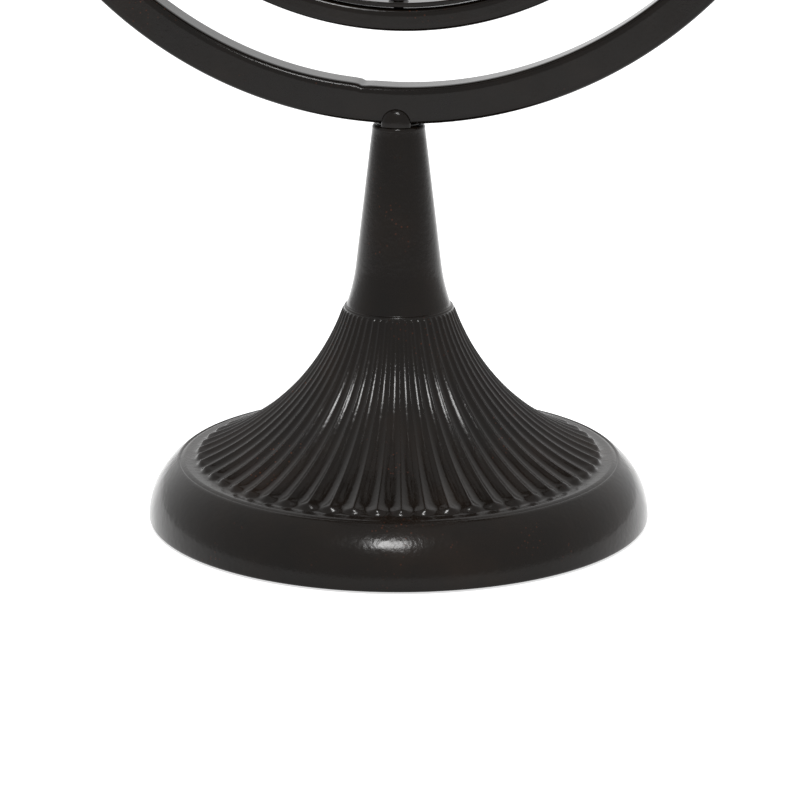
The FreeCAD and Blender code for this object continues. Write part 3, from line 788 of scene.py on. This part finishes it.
def globe():
    """A ball with engraved meridians and parallels every 30 degrees, and the collars that it spins between."""
    end = GLOBE_RADIUS + SPIGOT_LENGTH
    limit = math.acos(SPIGOT_RADIUS / GLOBE_RADIUS)
    latitudes = np.linspace(-limit, limit, BALL_ROWS)
    turns = np.linspace(0, 2 * math.pi, BALL_COLUMNS, endpoint=False)
    pitch = GLOBE_RADIUS * math.pi / 6
    narrowing = np.cos(latitudes)[:, None]
    parallels = engraving(latitudes * GLOBE_RADIUS, pitch)[:, None]
    meridians = engraving(turns[None, :] * GLOBE_RADIUS * narrowing, pitch * narrowing)
    ball = GLOBE_RADIUS - ENGRAVING_DEPTH * np.maximum(parallels, meridians)
    around = ball * narrowing
    points = np.stack([around * np.cos(turns), around * np.sin(turns), ball * np.sin(latitudes)[:, None]], -1)
    chamfer = 0.3 * MM
    spigot = [(CORE, -end), (SPIGOT_RADIUS - chamfer, -end), (SPIGOT_RADIUS, chamfer - end)]
    ends = spin(spigot, BALL_COLUMNS)
    points = np.concatenate([ends, points, -ends[::-1] * [-1, -1, 1]])
    add_piece("ball", grid_mesh("ball", moved(points, POLAR)), RING_PAINT, "globe")
    low = end + RUNNING_GAP
    collar = tube_outline(STOP_RADIUS, STOP_BORE, low, low + STOP_LENGTH, 0.4 * MM)
    for name, turn in (("upper_collar", 0), ("lower_collar", math.pi)):
        lathe(name, "globe_collars", collar, RING_PAINT, ROD_COLUMNS, POLAR @ Matrix.Rotation(turn, 4, "X"))


# ------------------------------------------------ felt pads and kept CAD nodes

def felt_feet():
    """Four felt pads with soft edges."""
    outline = bar_outline(PAD_RADIUS, 0, PAD_HEIGHT, 0.4 * MM)
    out = Matrix.Translation((FOOT_RADIUS - PAD_INSET, 0, 0))
    for index in range(PADS):
        turn = Matrix.Rotation(2 * math.pi / PADS * (index + 0.5), 4, "Z")
        lathe("pad_" + str(index), "felt_pads", outline, FELT, ROD_COLUMNS, turn @ out)


def finish_cad_nodes():
    """Give every CAD node its own finish; the ones that are not replaced still show."""
    finishes = {"zinc_steel": ZINC, "felt": FELT, "dark_paint": RING_PAINT}
    for node, piece in NODES.items():
        for slot in piece.material_slots:
            slot.material = finishes[slot_of(node)]


# ----------------------------------------------------------------------- stage

def sees_white(tree):
    """1 for the rays that see the white background: camera, glossy and transmission rays."""
    rays = tree.nodes.new("ShaderNodeLightPath").outputs
    either = calculate(tree, "MAXIMUM", rays["Is Camera Ray"], rays["Is Glossy Ray"])
    return calculate(tree, "MAXIMUM", either, rays["Is Transmission Ray"])


def floor():
    """A floor that is white to the rays of sees_white and grey to diffuse light."""
    turns = np.linspace(0, 2 * math.pi, 96, endpoint=False)
    edge = [(FLOOR_RADIUS * math.cos(t), FLOOR_RADIUS * math.sin(t), 0) for t in turns]
    mesh = bpy.data.meshes.new("floor")
    mesh.from_pydata(edge, [], [tuple(range(len(edge)))])
    plane = bpy.data.objects.new("floor", mesh)
    bpy.context.scene.collection.objects.link(plane)
    material, tree, shader = new_material("floor_white")
    shader.inputs["Base Color"].default_value = (FLOOR_WHITE, FLOOR_WHITE, FLOOR_WHITE, 1)
    shader.inputs["Roughness"].default_value = 1
    shader.inputs["Specular IOR Level"].default_value = 0
    grey = tree.nodes.new("ShaderNodeBsdfDiffuse")
    grey.inputs["Color"].default_value = (FLOOR_GREY, FLOOR_GREY, FLOOR_GREY, 1)
    glow = tree.nodes.new("ShaderNodeEmission")
    glow.inputs["Strength"].default_value = FLOOR_GLOW
    total = tree.nodes.new("ShaderNodeAddShader")
    choice = tree.nodes.new("ShaderNodeMixShader")
    output = tree.nodes["Material Output"]
    tree.links.new(shader.outputs["BSDF"], total.inputs[0])
    tree.links.new(glow.outputs["Emission"], total.inputs[1])
    tree.links.new(sees_white(tree), choice.inputs["Fac"])
    tree.links.new(grey.outputs["BSDF"], choice.inputs[1])
    tree.links.new(total.outputs["Shader"], choice.inputs[2])
    tree.links.new(choice.outputs["Shader"], output.inputs["Surface"])
    mesh.materials.append(material)


def world():
    """White to the rays of sees_white. For diffuse light: bright behind, grey at the sides and dim in front."""
    scene_world = bpy.data.worlds.new("studio")
    bpy.context.scene.world = scene_world
    scene_world.use_nodes = True
    tree = scene_world.node_tree
    background = tree.nodes["Background"]
    direction = tree.nodes.new("ShaderNodeTexCoord").outputs["Generated"]
    facing = tree.nodes.new("ShaderNodeVectorMath")
    facing.operation = "DOT_PRODUCT"
    facing.inputs[1].default_value = (math.sin(STUDIO_TURN), -math.cos(STUDIO_TURN), 0)
    tree.links.new(direction, facing.inputs[0])
    room = ramp(tree, remap(tree, facing.outputs["Value"], 1, -1, 0, 1), [
        (0.09, (0.07, 0.07, 0.07)),
        (0.18, (0.28, 0.28, 0.28)),
        (0.50, (0.76, 0.76, 0.76)),
        (0.75, (1.40, 1.40, 1.40)),
    ])
    tree.links.new(mix_colour(tree, sees_white(tree), room, WHITE), background.inputs["Color"])


def view_direction(azimuth, elevation):
    """The direction from the object to a viewpoint; azimuth runs from the front towards +X, in radians."""
    return Vector((math.sin(azimuth) * math.cos(elevation), -math.cos(azimuth) * math.cos(elevation),
                   math.sin(elevation)))


def softbox(name, azimuth, elevation, distance, width, height, power):
    """A rectangular lamp that looks at the object; its angles are in degrees and its sizes in metres."""
    lamp = bpy.data.lights.new(name, "AREA")
    lamp.shape = "RECTANGLE"
    lamp.size = width
    lamp.size_y = height
    lamp.energy = power
    piece = bpy.data.objects.new(name, lamp)
    back = view_direction(math.radians(azimuth), math.radians(elevation))
    piece.location = LAMP_TARGET + back * distance
    piece.rotation_euler = back.to_track_quat("Z", "Y").to_euler()
    bpy.context.scene.collection.objects.link(piece)


def camera():
    """Low and from the front right, with a long lens."""
    back = view_direction(CAMERA_AZIMUTH, CAMERA_ELEVATION)
    lens = bpy.data.cameras.new("camera")
    lens.lens = CAMERA_LENS
    lens.sensor_width = 36
    lens.clip_start = 0.01
    lens.clip_end = 100
    piece = bpy.data.objects.new("camera", lens)
    piece.location = CAMERA_TARGET + back * CAMERA_DISTANCE
    piece.rotation_euler = back.to_track_quat("Z", "Y").to_euler()
    bpy.context.scene.collection.objects.link(piece)
    bpy.context.scene.camera = piece


camera()
finish_cad_nodes()
fluted_base()
neck()
ring_post()
rings()
pins()
arrow()
globe()
felt_feet()
floor()
world()
softbox("key", azimuth=3, elevation=52, distance=1.5, width=0.30, height=0.32, power=14)
bpy.context.scene.view_settings.view_transform = "Standard"
